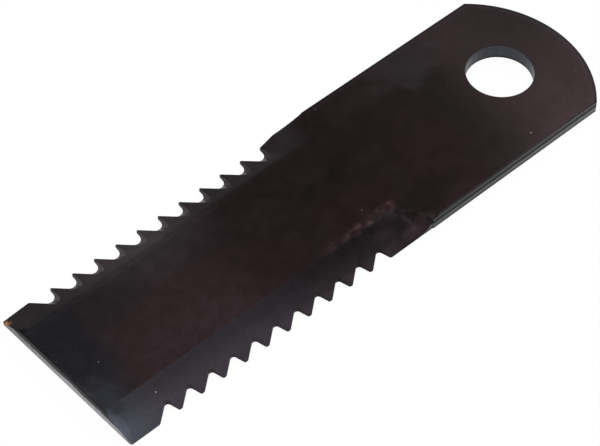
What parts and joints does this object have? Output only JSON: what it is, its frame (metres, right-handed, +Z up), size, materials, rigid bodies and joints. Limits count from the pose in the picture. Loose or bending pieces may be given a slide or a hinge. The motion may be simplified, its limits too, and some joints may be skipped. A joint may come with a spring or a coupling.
{
  "type": "straw chopper knife",
  "caption": "Flat steel chopper knife with a round bolt-on end, one mounting hole and bevelled, saw-toothed cutting edges along both sides.",
  "frame": {"origin": "centre of the footprint, on the flat underside", "axes": "+X along the knife from its free end to its hole end, +Y to the far edge in the picture, +Z up out of the bevelled face"},
  "size_m": [0.173, 0.05, 0.004],
  "materials": {
    "scaled_steel": "semi-gloss dark brown hardening scale on spring steel, greyer on the ground bevels, with light rust at one corner"
  },
  "bodies": {
    "root": {"blade": "scaled_steel"}
  },
  "joints": []
}
